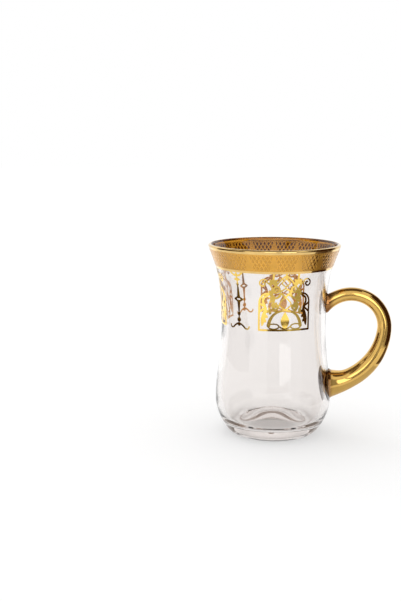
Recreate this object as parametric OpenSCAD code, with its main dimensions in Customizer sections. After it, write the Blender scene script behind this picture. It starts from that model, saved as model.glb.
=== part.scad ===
// Turkish tea glass with a handle: a waisted clear glass with a flared lip and a gilded loop handle,
// a gold net band under the lip, and gold scroll panels and lamp pendants that hang from the band.
// Millimetres, +Z up. The glass stands on z = 0 around the Z axis, and the handle points along +X.

/* [Glass] */
// height of the glass from the foot to the lip
height = 91; // [86:0.5:102]
// outer diameter of the lip
rim_d = 62.5; // [58:0.2:68]
// lean of the wall under the lip, in degrees from upright
rim_lean = 22; // [16:0.5:28]
// outer diameter of the neck, where the flare starts
neck_d = 52.3; // [50:0.1:55]
// height of the neck
neck_h = 74; // [68:0.5:78]
// lean of the wall at the neck, in degrees from upright
neck_lean = 9; // [4:0.5:14]
// outer diameter of the waist
waist_d = 49.7; // [46:0.1:51.5]
// height of the waist
waist_h = 53; // [46:0.5:60]
// outer diameter of the bulge over the foot
bulge_d = 55; // [52:0.2:59]
// height of the bulge
bulge_h = 16; // [13:0.5:20]
// outer diameter of the ring that the glass stands on
foot_d = 37.6; // [32:0.2:42]
// width of the ring that the glass stands on
foot_ring_w = 3.1; // [2:0.1:6]
// depth of the hollow under the foot
punt_depth = 4.6; // [2:0.1:6.5]
// wall thickness at the lip
rim_wall = 1.8; // [1.4:0.1:2.4]
// wall thickness in the lower body
low_wall = 2.8; // [2.2:0.1:3.6]
// thickness of the floor at the axis, between the hollow and the inside
floor_t = 6.6; // [4:0.2:9]
// diameter of the ring where the inside floor lies lowest, around its pushed-up middle
valley_d = 37; // [32:0.5:40]
// height of that lowest ring over the table
valley_h = 5.8; // [4.5:0.1:8]
// height at which the rounding of the inside floor meets the wall
bowl_h = 18; // [15:0.5:22]

/* [Handle] */
// diameter of the rod over the top of the loop
rod_d = 6.3; // [5.6:0.1:7.4]
// diameter of the rod where the loop runs in to its lower root
low_rod_d = 9.4; // [8.2:0.1:10.6]
// diameter of the lower root at the wall
low_root_d = 13; // [11.5:0.1:15]
// widest room between the waist and the rod
finger_room = 24.6; // [22:0.2:26]
// centreline radius of the upper bend
upper_bend_r = 15.8; // [15:0.1:17.4]
// centreline radius of the lower bend
lower_bend_r = 29.2; // [27:0.2:32]
// height of the centre of the upper bend
bend_h = 51.4; // [48:0.2:55]
// clear glass left between the wall and the gold on the rod
bare_root = 1.2; // [1.1:0.1:3]

/* [Gilding] */
// thickness of the gold layer
film = 0.12; // [0.08:0.01:0.2]
// height of the net band
band_h = 8; // [6:0.1:10]
// height of the plain line under the net band
low_line_h = 1; // [0.6:0.1:1.6]
// height of the plain line over the net band
top_line_h = 0.6; // [0.4:0.1:1.2]
// height of the gold on the outside of the lip
lip_line_h = 1.3; // [1:0.1:2]
// width of a scroll panel, along the wall
panel_w = 25.8; // [20:0.2:27]
// height of a scroll panel
panel_h = 26.6; // [22:0.2:30]
// width of a pendant over its curled legs, along the wall
pendant_w = 12; // [9:0.2:14]
// height of a pendant
pendant_h = 26.6; // [22:0.2:30]
// width of the drawn gold lines
line_w = 0.9; // [0.7:0.05:1.1]
// angle between a panel and the pendant beside it
motif_step = 51; // [49.5:0.5:52.5]

/* [Hidden] */

glass_tint = [0.80, 0.88, 0.90];
gold_tint = [0.80, 0.62, 0.28];
net_tint = [0.70, 0.50, 0.20];

// the round lip
lip_r = rim_wall / 2;
lip_steps = 8;
lip_z = height - lip_r;
lip_c = rim_d / 2 - lip_r;

// fullness of the heel curve between the foot and the bulge
heel_power = 1.6;
heel_steps = 10;
wall_steps = 36;

// the stops of the wall line: a height, a radius and a slope
bulge_stop = [bulge_h, bulge_d / 2, 0];
waist_stop = [waist_h, waist_d / 2, 0];
neck_stop = [neck_h, neck_d / 2, tan(neck_lean)];
rim_stop = [lip_z, rim_d / 2, tan(rim_lean)];

// the wall line between two stops
function glide(z, a, b) =
    let (len = b[0] - a[0], t = (z - a[0]) / len, s = 1 - t)
    a[1] * (1 + 2 * t) * s * s + a[2] * len * t * s * s
    + b[1] * (3 - 2 * t) * t * t - b[2] * len * t * t * s;

function heel_r(z) =
    foot_d / 2 + (bulge_d - foot_d) / 2
    * pow(1 - pow(max(0, 1 - z / bulge_h), heel_power), 1 / heel_power);

function curve_r(z) =
    z < bulge_h ? heel_r(z)
    : z < waist_h ? glide(z, bulge_stop, waist_stop)
    : z < neck_h ? glide(z, waist_stop, neck_stop)
    : glide(z, neck_stop, rim_stop);

// the outer wall as short straight runs, so that every layer on it lies flush
heel_zs = [for (i = [0 : heel_steps - 1]) bulge_h * pow(i / heel_steps, 2)];
wall_zs = [for (i = [0 : wall_steps]) bulge_h + (lip_z - bulge_h) * i / wall_steps];
skin_zs = concat(heel_zs, wall_zs);
skin_line = [for (z = skin_zs) [z, curve_r(z)]];

function skin_r(z) = lookup(z, skin_line);
function between(z0, z1) = concat([z0], [for (z = skin_zs) if (z > z0 && z < z1) z], [z1]);

function smooth(t) = let (c = min(1, max(0, t))) c * c * (3 - 2 * c);
function wall_t(z) = low_wall + (rim_wall - low_wall) * smooth((z - bulge_h) / (lip_z - bulge_h));

// the floor, pushed up in the middle: a bell line over the hollow, and another inside
bowl_steps = 8;
kick_steps = 10;
punt_r = foot_d / 2 - foot_ring_w;
valley_r = valley_d / 2;
bowl_r = skin_r(bowl_h) - wall_t(bowl_h);
dome_h = punt_depth + floor_t - valley_h;

function kick(t) = pow(1 - t * t, 2);

outer_pts = [for (z = between(0, lip_z)) [skin_r(z), z]];
lip_pts = [for (i = [1 : lip_steps - 1]) let (a = 180 * i / lip_steps)
           [lip_c + lip_r * cos(a), lip_z + lip_r * sin(a)]];
inner_up = [for (z = between(bowl_h, lip_z)) [skin_r(z) - wall_t(z), z]];
inner_pts = [for (i = [len(inner_up) - 1 : -1 : 0]) inner_up[i]];
bowl_pts = [for (i = [bowl_steps - 1 : -1 : 0]) let (a = 90 * i / bowl_steps)
            [valley_r + (bowl_r - valley_r) * sin(a), bowl_h - (bowl_h - valley_h) * cos(a)]];
dome_pts = [for (i = [kick_steps - 1 : -1 : 0]) let (t = i / kick_steps)
            [valley_r * t, valley_h + dome_h * kick(t)]];
punt_pts = [for (i = [0 : kick_steps]) let (t = i / kick_steps) [punt_r * t, punt_depth * kick(t)]];

// the band and the lines around the lip, from the top down
lip_line_z = height - lip_line_h;
band_top = lip_line_z - top_line_h;
band_low = band_top - band_h;
drop_z = band_low - low_line_h;

// the handle's centreline: a tight upper bend and a wide lower bend that share a tangent
rod_r = rod_d / 2;
bend_change = -4.5;
upper_c = [waist_d / 2 + finger_room + rod_r - upper_bend_r, bend_h];
lower_c = upper_c + (upper_bend_r - lower_bend_r) * [cos(bend_change), sin(bend_change)];
root_stand = 0.8;
root_fit = 0.02;
root_bead = 1.08;
search_steps = 18;
top_search = [90, 170];
low_search = [-40, -110];

function on_upper(a) = upper_c + upper_bend_r * [cos(a), sin(a)];
function on_lower(a) = lower_c + lower_bend_r * [cos(a), sin(a)];
function clear_of_wall(p) = p[0] > skin_r(p[1]) + root_stand;
function upper_end(lo, hi, n) =
    let (mid = (lo + hi) / 2)
    n == 0 ? mid
    : clear_of_wall(on_upper(mid)) ? upper_end(mid, hi, n - 1) : upper_end(lo, mid, n - 1);
function lower_end(lo, hi, n) =
    let (mid = (lo + hi) / 2)
    n == 0 ? mid
    : clear_of_wall(on_lower(mid)) ? lower_end(mid, hi, n - 1) : lower_end(lo, mid, n - 1);

top_a = upper_end(top_search[0], top_search[1], search_steps);
low_a = lower_end(low_search[0], low_search[1], search_steps);
upper_len = upper_bend_r * (top_a - bend_change) * PI / 180;
lower_len = lower_bend_r * (bend_change - low_a) * PI / 180;
loop_len = upper_len + lower_len;

// the rod swells towards its lower root, and its last rings turn to face the wall
rod_sides = 24;
rod_rings = 40;
swell_share = 0.7;
swell_from = swell_share * upper_len;
low_flare = (low_root_d - low_rod_d) / 2;
low_flare_len = 1.2 * low_rod_d;
turn_len = 1.3 * rod_d;
gilt_from = bare_root - root_stand;
gilt_len = loop_len - 2 * gilt_from;

function loop_a(s) =
    s < upper_len ? top_a - s / upper_bend_r * 180 / PI
    : bend_change - (s - upper_len) / lower_bend_r * 180 / PI;
function loop_p(s) = s < upper_len ? on_upper(loop_a(s)) : on_lower(loop_a(s));
function loop_r(s) =
    rod_r + (low_rod_d - rod_d) / 2 * smooth((s - swell_from) / (loop_len - swell_from))
    + low_flare * pow(max(0, 1 - (loop_len - s) / low_flare_len), 2);
function turn_at(s) =
    s < loop_len / 2 ? smooth(1 - s / turn_len) * (90 - loop_a(s))
    : smooth(1 - (loop_len - s) / turn_len) * (-90 - loop_a(s));

// the rings of the rod: one at each end, and the rest where the gold starts, runs and stops
function ring_s(i) =
    i == 0 ? 0 : i == rod_rings ? loop_len : gilt_from + gilt_len * (i - 1) / (rod_rings - 2);

// one ring of the rod, grown by a layer thickness
function rod_ring(i, layer) =
    let (s = ring_s(i), p = loop_p(s), d = turn_at(s), a = loop_a(s) + d, r = loop_r(s) + layer)
    [for (k = [0 : rod_sides - 1]) let (b = 360 * k / rod_sides)
     [p[0] + r / cos(d) * cos(b) * cos(a), r * sin(b), p[1] + r / cos(d) * cos(b) * sin(a)]];

// a ring of the root, laid on the wall of the glass
function wall_point(y, z) = [sqrt(pow(skin_r(z), 2) - y * y) + root_fit, y, z];
function root_ring(i, share) =
    let (ring = rod_ring(i, 0), mid = loop_p(ring_s(i)))
    [for (p = ring) wall_point(share * p[1], mid[1] + share * (p[2] - mid[1]))];
function root_mid(i) = wall_point(0, loop_p(ring_s(i))[1]);

// side faces between rings that follow each other in the point list
function band_faces(first, rings, sides) =
    [for (j = [0 : rings - 2]) for (k = [0 : sides - 1])
     let (a = first + j * sides + k, b = first + j * sides + (k + 1) % sides)
     each [[a, b, b + sides], [a, b + sides, a + sides]]];

// a scroll panel's drawing, right half: across in shares of half its width, up in shares of its height
frame_path = [[0, 0.02], [0.92, 0.02], [0.92, 0.50]];
shoulder_mid = [0.60, 0.50];
shoulder_size = [0.32, 0.16];
shoulder_turn = [0, 95];
strut_path = [[0.92, 0.49], [0.70, 0.42], [0.92, 0.33]];
crescent_path = [[0.62, 0.625], [0.76, 0.58], [0.78, 0.51], [0.70, 0.42]];
leaf_path = [[0.70, 0.42], [0.68, 0.36], [0.74, 0.26], [0.78, 0.12]];
leaf_lobes = [[0.60, 0.33], [0.62, 0.24], [0.68, 0.16]];
lyre_path = [[0.58, 0.10], [0.54, 0.18], [0.44, 0.27], [0.28, 0.33], [0, 0.37]];
ribbon_mid = [0.40, 0.085];
ribbon_size = [0.19, 0.045];
knot_path = [[0.22, 0.09], [0.10, 0.055], [0, 0.05]];
vase_path = [[0, 0.07], [0.15, 0.17], [0.09, 0.27], [0, 0.33]];
star_path = [[0, 0.37], [0.21, 0.47], [0, 0.60]];
hook_path = [[0, 0.60], [0.15, 0.665], [0.24, 0.62]];
ogee_path = [[0, 0.60], [0.20, 0.68], [0, 0.76], [0.14, 0.84], [0, 0.92]];
chevron_path = [[0.35, 0.79], [0.18, 0.90], [0, 0.97]];
stem_path = [[0.28, 0.33], [0.42, 0.38], [0.46, 0.46], [0.40, 0.56], [0.58, 0.66]];
low_spray = [0.45, 0.45];
low_spray_turn = 200;
mid_spray = [0.41, 0.56];
mid_spray_turn = 20;
scroll_path = [[0.58, 0.66], [0.48, 0.73], [0.54, 0.80], [0.68, 0.86]];
high_spray = [0.45, 0.84];
high_spray_turn = 90;
volute_mid = [0.81, 0.835];
volute_turn = [150, -260];
volute_share = 0.08;
spray_share = 0.08;
spray_lobes = 3;
spray_fan = 110;
crown_lobes = 5;
crown_fan = 190;

// a pendant's drawing, right half, from its curled legs up to its hanger
leg_path = [[0.06, 0.10], [0.34, 0.07], [0.60, 0.02], [0.84, 0.02], [0.92, 0.06]];
hub_mid = 0.085;
bulb_mid = 0.165;
low_bead = 0.27;
taper_path = [[0, 0.32], [0, 0.48]];
knot_mid = 0.525;
knot_size = [0.36, 0.045];
spear_path = [[0, 0.57], [0, 0.73]];
high_bead = 0.79;
cross_mid = 0.875;
cross_half = 0.20;
hanger_path = [[0, 0.945], [0.26, 0.95], [0.56, 1]];
knob_mid = 0.95;
bead_share = 0.034;

decal_sides = 120;
dot_sides = 6;
curve_steps = 8;
path_steps = 2;
motif_r = skin_r(drop_z - panel_h / 2);

function ring_pts(c, size, a0, a1, n) =
    [for (i = [0 : n]) let (a = a0 + (a1 - a0) * i / n) c + [size[0] * cos(a), size[1] * sin(a)]];
function curl_pts(c, r0, r1, a0, a1, n) =
    [for (i = [0 : n]) let (t = i / n, a = a0 + (a1 - a0) * t, r = r0 + (r1 - r0) * t)
     c + r * [cos(a), sin(a)]];
// a smooth run through the points of a path
function path_at(pts, i) = pts[min(len(pts) - 1, max(0, i))];
function smooth_step(pts, i, t) =
    let (a = path_at(pts, i - 1), b = path_at(pts, i), c = path_at(pts, i + 1), d = path_at(pts, i + 2))
    b + t / 2 * (c - a + t * (2 * a - 5 * b + 4 * c - d + t * (3 * (b - c) + d - a)));
function smooth_path(pts) =
    concat([for (i = [0 : len(pts) - 2]) for (k = [0 : path_steps - 1]) smooth_step(pts, i, k / path_steps)],
           [pts[len(pts) - 1]]);
// a length along the wall, seen square on
function on_face(p) = [motif_r * sin(p[0] / motif_r * 180 / PI), p[1]];

// a drawn line, from one width to another
module stroke(pts, w0, w1) {
    last = len(pts) - 1;
    for (i = [0 : last - 1])
        hull() {
            translate(on_face(pts[i])) circle(d = w0 + (w1 - w0) * i / last, $fn = dot_sides);
            translate(on_face(pts[i + 1])) circle(d = w0 + (w1 - w0) * (i + 1) / last, $fn = dot_sides);
        }
}

module pair() {
    children();
    mirror([1, 0]) children();
}

// a thin layer on the outside of the glass, between two heights
module layer(z0, z1, t, scale_out = 1) {
    zs = between(z0, z1);
    inside = [for (z = zs) [skin_r(z) * scale_out, z]];
    outside = [for (i = [len(zs) - 1 : -1 : 0]) [skin_r(zs[i]) * scale_out + t, zs[i]]];
    rotate_extrude($fn = decal_sides) polygon(concat(inside, outside));
}

// a drawing laid on the wall, hung from the band at an angle around the glass
module decal(phi, tall) {
    rotate([0, 0, phi + 90])
        intersection() {
            rotate([0, 0, 180 / decal_sides])
                layer(drop_z - tall, drop_z, film, 1 / cos(180 / decal_sides));
            translate([0, 0, drop_z - tall]) rotate([90, 0, 0])
                linear_extrude(height = rim_d) children();
        }
}

module panel_drawing() {
    size = [panel_w / 2, panel_h];
    thick = 1.3 * line_w;
    thin = 0.7 * line_w;
    function at(p) = [p[0] * size[0], p[1] * size[1]];
    function along(path) = smooth_path([for (p = path) at(p)]);
    spray_r = spray_share * panel_h;
    volute_r = volute_share * panel_h;
    module spray(mid, turn, lobes, fan) {
        for (k = [0 : lobes - 1])
            let (a = turn + fan * (k / (lobes - 1) - 0.5))
            stroke([at(mid), at(mid) + spray_r * [cos(a), sin(a)]], thin, thick);
    }
    pair() {
        stroke([for (p = frame_path) at(p)], line_w, line_w);
        stroke(ring_pts(at(shoulder_mid), at(shoulder_size), shoulder_turn[0], shoulder_turn[1],
                         curve_steps), line_w, line_w);
        stroke([for (p = strut_path) at(p)], line_w, line_w);
        stroke(along(crescent_path), line_w, thick);
        stroke(along(leaf_path), thick, line_w);
        for (i = [0 : len(leaf_lobes) - 1])
            stroke([at(leaf_path[i + 1]), at(leaf_lobes[i])], thick, thin);
        stroke(along(lyre_path), thick, line_w);
        stroke(ring_pts(at(ribbon_mid), at(ribbon_size), 0, 360, curve_steps), thin, thin);
        stroke(along(knot_path), thin, line_w);
        stroke(along(star_path), line_w, line_w);
        stroke(along(hook_path), line_w, thin);
        stroke(along(ogee_path), line_w, thin);
        stroke(along(chevron_path), thin, line_w);
        stroke(along(stem_path), line_w, line_w);
        spray(low_spray, low_spray_turn, spray_lobes, spray_fan);
        spray(mid_spray, mid_spray_turn, spray_lobes, spray_fan);
        stroke(along(scroll_path), line_w, thin);
        spray(high_spray, high_spray_turn, crown_lobes, crown_fan);
        stroke(curl_pts(at(volute_mid), volute_r, volute_r / 4, volute_turn[0], volute_turn[1],
                        2 * curve_steps), thin, line_w);
        stroke([at(high_spray), at([high_spray[0], 1])], line_w, line_w);
        stroke([at(high_spray), at(chevron_path[0])], line_w, line_w);
    }
    stroke([at([0, ogee_path[4][1]]), at([0, 1])], line_w, line_w);
    hull()
        pair() stroke(along(vase_path), thin, thin);
}

module pendant_drawing() {
    size = [pendant_w / 2, pendant_h];
    bead = bead_share * pendant_h;
    thin = 0.7 * line_w;
    function at(p) = [p[0] * size[0], p[1] * size[1]];
    function along(path) = smooth_path([for (p = path) at(p)]);
    module bead_at(v, r) {
        translate(at([0, v])) circle(r = r, $fn = 2 * dot_sides);
    }
    pair() {
        stroke(along(leg_path), line_w, thin);
        stroke([at([0, knot_mid - knot_size[1]]), at([knot_size[0], knot_mid]),
                at([0, knot_mid + knot_size[1]])], line_w, line_w);
        stroke([at([0, cross_mid]), at([cross_half, cross_mid])], 2 * line_w, line_w);
        stroke(along(hanger_path), line_w, line_w);
    }
    stroke([for (p = taper_path) at(p)], line_w, 2 * line_w);
    stroke([for (p = spear_path) at(p)], 2 * line_w, line_w);
    stroke([at([0, hub_mid]), at([0, knot_mid - knot_size[1]])], thin, line_w);
    stroke([at([0, knot_mid + knot_size[1]]), at([0, 1])], line_w, thin);
    bead_at(hub_mid, bead);
    bead_at(bulb_mid, 1.2 * bead);
    bead_at(low_bead, bead);
    bead_at(high_bead, 0.8 * bead);
    bead_at(knob_mid, bead);
}

module glass_body() {
    color(glass_tint)
        rotate_extrude($fn = 2 * decal_sides)
            polygon(concat(punt_pts, outer_pts, lip_pts, inner_pts, bowl_pts, dome_pts));
}

module handle_core() {
    rings = concat([root_ring(0, 0.5), root_ring(0, root_bead)],
                   [for (i = [0 : rod_rings]) rod_ring(i, 0)],
                   [root_ring(rod_rings, root_bead), root_ring(rod_rings, 0.5)]);
    pts = concat([for (r = rings) each r], [root_mid(0), root_mid(rod_rings)]);
    last = (len(rings) - 1) * rod_sides;
    top_mid = len(rings) * rod_sides;
    top_cap = [for (k = [0 : rod_sides - 1]) [top_mid, (k + 1) % rod_sides, k]];
    low_cap = [for (k = [0 : rod_sides - 1]) [top_mid + 1, last + k, last + (k + 1) % rod_sides]];
    color(glass_tint)
        polyhedron(points = pts, faces = concat(band_faces(0, len(rings), rod_sides), top_cap, low_cap));
}

module handle_gilding() {
    count = rod_rings - 1;
    outer = [for (i = [1 : count]) each rod_ring(i, film)];
    inner = [for (i = [count : -1 : 1]) each rod_ring(i, 0)];
    color(gold_tint)
        polyhedron(points = concat(outer, inner),
                   faces = [for (f = band_faces(0, 2 * count + 1, rod_sides))
                            [for (q = f) q % (2 * count * rod_sides)]]);
}

module lip_gilding() {
    zs = between(lip_line_z, lip_z);
    turn = 110;
    inside = [for (z = zs) [skin_r(z), z]];
    over = [for (i = [1 : lip_steps]) let (a = turn * i / lip_steps)
            [lip_c + lip_r * cos(a), lip_z + lip_r * sin(a)]];
    back = [for (i = [lip_steps : -1 : 0]) let (a = turn * i / lip_steps)
            [lip_c + (lip_r + film) * cos(a), lip_z + (lip_r + film) * sin(a)]];
    outside = [for (i = [len(zs) - 2 : -1 : 0]) [skin_r(zs[i]) + film, zs[i]]];
    color(gold_tint)
        rotate_extrude($fn = 2 * decal_sides) polygon(concat(inside, over, back, outside));
}

module band_upper_line() {
    color(gold_tint) layer(band_top, lip_line_z, film);
}

module rim_band() {
    color(net_tint) layer(band_low, band_top, film);
}

module band_lower_line() {
    color(gold_tint) layer(drop_z, band_low, film);
}

module scroll_panel_front() {
    color(gold_tint) decal(-180 + 2 * motif_step, panel_h) panel_drawing();
}

module scroll_panel_far() {
    color(gold_tint) decal(180, panel_h) panel_drawing();
}

module scroll_panel_back() {
    color(gold_tint) decal(180 - 2 * motif_step, panel_h) panel_drawing();
}

module lamp_pendant_front() {
    color(gold_tint) decal(-180 + motif_step, pendant_h) pendant_drawing();
}

module lamp_pendant_back() {
    color(gold_tint) decal(180 - motif_step, pendant_h) pendant_drawing();
}

glass_body();
handle_core();
handle_gilding();
lip_gilding();
band_upper_line();
rim_band();
band_lower_line();
scroll_panel_front();
scroll_panel_far();
scroll_panel_back();
lamp_pendant_front();
lamp_pendant_back();
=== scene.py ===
import math

import bmesh
import bpy
from bpy.props import FloatProperty, FloatVectorProperty, IntProperty, PointerProperty
from bpy.types import Operator, Panel, PropertyGroup
from mathutils import Matrix, Vector


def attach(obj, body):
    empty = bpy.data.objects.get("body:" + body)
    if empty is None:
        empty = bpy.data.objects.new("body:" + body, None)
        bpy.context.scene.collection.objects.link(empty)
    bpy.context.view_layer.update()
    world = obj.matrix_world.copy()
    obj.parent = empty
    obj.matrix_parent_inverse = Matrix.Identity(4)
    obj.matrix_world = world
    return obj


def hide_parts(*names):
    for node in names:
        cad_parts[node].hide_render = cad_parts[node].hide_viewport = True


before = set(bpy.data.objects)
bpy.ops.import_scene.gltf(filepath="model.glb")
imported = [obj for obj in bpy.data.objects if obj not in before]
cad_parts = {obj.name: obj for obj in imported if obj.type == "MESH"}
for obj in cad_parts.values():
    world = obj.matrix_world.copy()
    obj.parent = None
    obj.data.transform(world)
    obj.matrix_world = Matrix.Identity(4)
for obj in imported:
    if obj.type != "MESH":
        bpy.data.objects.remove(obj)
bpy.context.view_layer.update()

bl_info = {
    "name": "Handled tea glass",
    "version": (1, 0, 0),
    "blender": (4, 5, 0),
    "location": "3D View > Sidebar > Tea glass",
    "description": "Builds the looks of a gilded tea glass with a handle over its solid model",
    "category": "Add Mesh",
}

BODY = "root"
MM = 0.001
# steps round the axis of the turned pieces
TURNS = 192
# edges that fold by more than this stay sharp
SHARP_EDGE = math.radians(50)
# points closer than this are one point
MERGE_DISTANCE = 1e-7


def length(name, description, mm):
    return FloatProperty(name=name, description=description, default=mm * MM, min=0.0, precision=5,
                         unit="LENGTH")


def angle(name, description, degrees):
    return FloatProperty(name=name, description=description, default=math.radians(degrees),
                         unit="ROTATION")


def tint(name, description, rgb):
    return FloatVectorProperty(name=name, description=description, default=rgb, size=3, min=0.0, max=1.0,
                               subtype="COLOR")


class GlassSizes(PropertyGroup):
    """Sizes of the clear vessel."""
    height: length("Height", "Foot to lip", 91)
    rim_d: length("Lip diameter", "Outer diameter of the lip", 62.5)
    rim_lean: angle("Lip lean", "Lean of the wall under the lip, from upright", 22)
    neck_d: length("Neck diameter", "Outer diameter where the flare starts", 52.3)
    neck_h: length("Neck height", "Height where the flare starts", 74)
    neck_lean: angle("Neck lean", "Lean of the wall at the neck, from upright", 9)
    waist_d: length("Waist diameter", "Outer diameter of the waist", 49.7)
    waist_h: length("Waist height", "Height of the waist", 53)
    bulge_d: length("Bulge diameter", "Outer diameter over the foot", 55)
    bulge_h: length("Bulge height", "Height of the bulge", 16)
    foot_d: length("Foot diameter", "Outer diameter of the ring that the glass stands on", 37.6)
    foot_ring_w: length("Foot ring width", "Width of the ring that the glass stands on", 3.1)
    punt_depth: length("Hollow depth", "Depth of the hollow under the foot", 4.6)
    rim_wall: length("Lip wall", "Wall thickness at the lip", 1.8)
    low_wall: length("Lower wall", "Wall thickness in the lower body", 2.8)
    floor_t: length("Floor thickness", "Thickness of the floor at the axis", 6.6)
    valley_d: length("Valley diameter", "Diameter of the ring where the inside floor lies lowest", 37)
    valley_h: length("Valley height", "Height of the lowest ring of the inside floor", 5.8)
    bowl_h: length("Floor rounding", "Height at which the floor's rounding meets the wall", 18)
    heel_power: FloatProperty(name="Heel fullness", description="Fullness of the curve over the foot",
                              default=1.6)


class HandleSizes(PropertyGroup):
    """Sizes of the loop handle."""
    rod_d: length("Rod diameter", "Diameter of the rod over the top of the loop", 6.3)
    low_rod_d: length("Lower rod diameter", "Diameter where the loop runs in to its lower root", 9.4)
    low_root_d: length("Lower root diameter", "Diameter of the lower root at the wall", 13)
    finger_room: length("Finger room", "Widest room between the waist and the rod", 24.6)
    upper_bend_r: length("Upper bend", "Centreline radius of the upper bend", 15.8)
    lower_bend_r: length("Lower bend", "Centreline radius of the lower bend", 29.2)
    bend_h: length("Bend height", "Height of the centre of the upper bend", 51.4)
    bend_change: angle("Bend change", "Angle where the lower bend takes over", -4.5)


class GiltSizes(PropertyGroup):
    """Sizes of the gold on the wall."""
    film: length("Gold layer", "Thickness of the gold layer", 0.095)
    sink: length("Bond depth", "Depth to which the gold bonds in to the glass", 0.02)
    band_h: length("Band height", "Height of the net band", 8)
    low_line_h: length("Lower line", "Height of the plain line under the band", 1)
    top_line_h: length("Upper line", "Height of the plain line over the band", 0.6)
    lip_line_h: length("Lip line", "Height of the gold on the outside of the lip", 1.3)
    panel_w: length("Panel width", "Width of a scroll panel along the wall", 25.8)
    panel_h: length("Panel height", "Height of a scroll panel", 26.6)
    pendant_w: length("Pendant width", "Width of a pendant along the wall", 12)
    pendant_h: length("Pendant height", "Height of a pendant", 26.6)
    line_w: length("Line width", "Width of the drawn gold lines", 0.9)
    motif_step: angle("Motif step", "Angle between a panel and the pendant beside it", 51)
    net_repeats: IntProperty(name="Net repeats", description="Repeats of the net around the band",
                             default=16)


class Finishes(PropertyGroup):
    """Colours of the glass, the gold and the stage."""
    glass_face: tint("Glass", "Faint tint of the glass at its surface", (0.93, 0.911, 0.90))
    glass_tint: tint("Thick glass", "Colour left after light has crossed thick glass", (0.60, 0.40, 0.30))
    bright_gold: tint("Bright gold", "Gold of the panels and pendants", (0.93, 0.63, 0.13))
    # partly painted shade: a deeper copy of the bright gold, darkened for the shadowed floor and dark
    # surroundings that the lip and lines reflect
    line_gold: tint("Line gold", "Gold of the lip and the plain lines", (0.82, 0.55, 0.19))
    net_gold: tint("Net gold", "Matt gold of the band", (0.80, 0.42, 0.06))
    net_cell: tint("Net cells", "Smoother gold in the cells of the net", (0.58, 0.285, 0.036))
    handle_gold: tint("Handle gold", "Gold of the handle", (0.74, 0.455, 0.115))
    # painted shade: the brown that darkens the handle's gold where the rod meets the wall
    root_gold: tint("Root gold", "Brown to which the handle's gold thins at the wall", (0.22, 0.075, 0.02))
    glass_side: tint("Glass-side gold", "Gold seen through the glass that it lies on", (0.74, 0.34, 0.035))
    # partly painted reflection: the back of the net's real cells, painted near black for the dark
    # surroundings they mirror
    glass_side_net: tint("Glass-side cells", "Net cells seen through the glass", (0.12, 0.03, 0.004))
    glass_side_lip: tint("Glass-side lip", "Back of the gold of the lip", (0.50, 0.20, 0.025))
    glass_side_rod: tint("Glass-side handle", "Back of the gold of the handle", (0.24, 0.06, 0.012))
    # partly painted shade: the back of the gold at the handle's ends, darkened to near black
    glass_side_root: tint("Root brown", "Ends of the handle, seen through the wall", (0.09, 0.02, 0.007))
    floor: tint("Floor", "Pale studio floor", (0.50, 0.50, 0.50))


class TeaGlass(PropertyGroup):
    """Everything about the tea glass that can be changed."""
    glass: PointerProperty(type=GlassSizes)
    handle: PointerProperty(type=HandleSizes)
    gilt: PointerProperty(type=GiltSizes)
    finish: PointerProperty(type=Finishes)


# The lines of the wall and of the handle

def ease(t):
    """A smooth rise from nought to one."""
    t = min(1.0, max(0.0, t))
    return t * t * (3 - 2 * t)


def fade(a, b, n):
    """The values of n even steps from one value to another, both ends included."""
    return [a + (b - a) * i / n for i in range(n + 1)]


def glide(z, a, b):
    """The wall line between two stops, each a height, a radius and a slope."""
    run = b[0] - a[0]
    t = (z - a[0]) / run
    s = 1 - t
    return (a[1] * (1 + 2 * t) * s * s + a[2] * run * t * s * s
            + b[1] * (3 - 2 * t) * t * t - b[2] * run * t * t * s)


class WallLine:
    """The outer and inner lines of the vessel's wall."""

    def __init__(self, g):
        self.g = g
        self.lip_r = g.rim_wall / 2
        self.lip_z = g.height - self.lip_r
        self.lip_c = g.rim_d / 2 - self.lip_r
        self.bulge = (g.bulge_h, g.bulge_d / 2, 0.0)
        self.waist = (g.waist_h, g.waist_d / 2, 0.0)
        self.neck = (g.neck_h, g.neck_d / 2, math.tan(g.neck_lean))
        self.rim = (self.lip_z, g.rim_d / 2, math.tan(g.rim_lean))

    def outer(self, z):
        g = self.g
        if z < g.bulge_h:
            up = 1 - max(0.0, 1 - z / g.bulge_h) ** g.heel_power
            return g.foot_d / 2 + (g.bulge_d - g.foot_d) / 2 * up ** (1 / g.heel_power)
        if z < g.waist_h:
            return glide(z, self.bulge, self.waist)
        if z < g.neck_h:
            return glide(z, self.waist, self.neck)
        return glide(z, self.neck, self.rim)

    def thickness(self, z):
        g = self.g
        return g.low_wall + (g.rim_wall - g.low_wall) * ease((z - g.bulge_h) / (self.lip_z - g.bulge_h))

    def inner(self, z):
        return self.outer(z) - self.thickness(z)

    def kick(self, share):
        """The bell line of the pushed-up floor, one at the axis and nought at its rim."""
        return (1 - share * share) ** 2


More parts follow.
